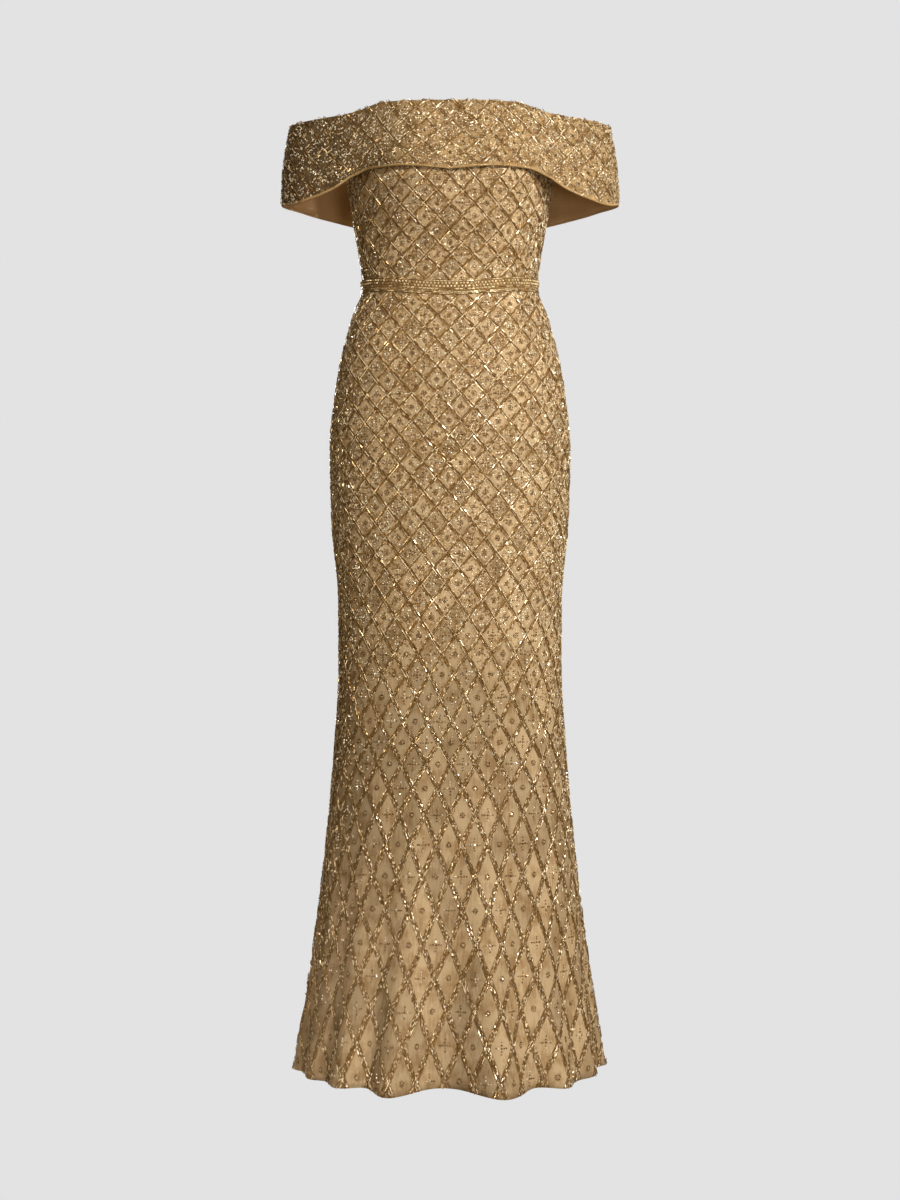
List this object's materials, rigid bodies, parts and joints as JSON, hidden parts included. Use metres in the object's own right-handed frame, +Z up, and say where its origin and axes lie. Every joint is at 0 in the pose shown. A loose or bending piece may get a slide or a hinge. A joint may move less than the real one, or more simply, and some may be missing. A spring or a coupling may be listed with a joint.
{
  "type": "off-the-shoulder evening gown",
  "caption": "Floor-length beaded gown with a turned-down collar round the upper arms, a fitted bodice, a waist band and a skirt that flares from the knee.",
  "frame": {"origin": "the centre of the gown at its waist, where the wearer holds it", "axes": "+Z up towards the neck, the front of the gown faces -Y, +X is at the right of someone who looks at the front"},
  "size_m": [0.476, 0.4136, 1.3501],
  "materials": {
    "beaded_cloth": "champagne net sewn all over with a trellis of gold glass beads",
    "waist_trim": "rows of round gold beads on a narrow band",
    "plain_cloth": "plain matt tan lining cloth",
    "zip_tape": "woven tape with a plain coil"
  },
  "bodies": {
    "root": {"bodice_front": "beaded_cloth", "bodice_back_right": "beaded_cloth", "bodice_back_left": "beaded_cloth", "waist_band": "waist_trim", "skirt_front": "beaded_cloth", "skirt_back_right": "beaded_cloth", "skirt_back_left": "beaded_cloth", "collar_front": "beaded_cloth", "collar_back_right": "beaded_cloth", "collar_back_left": "beaded_cloth", "collar_facing_front": "plain_cloth", "collar_facing_back_right": "plain_cloth", "collar_facing_back_left": "plain_cloth", "back_zip": "zip_tape"}
  },
  "joints": []
}
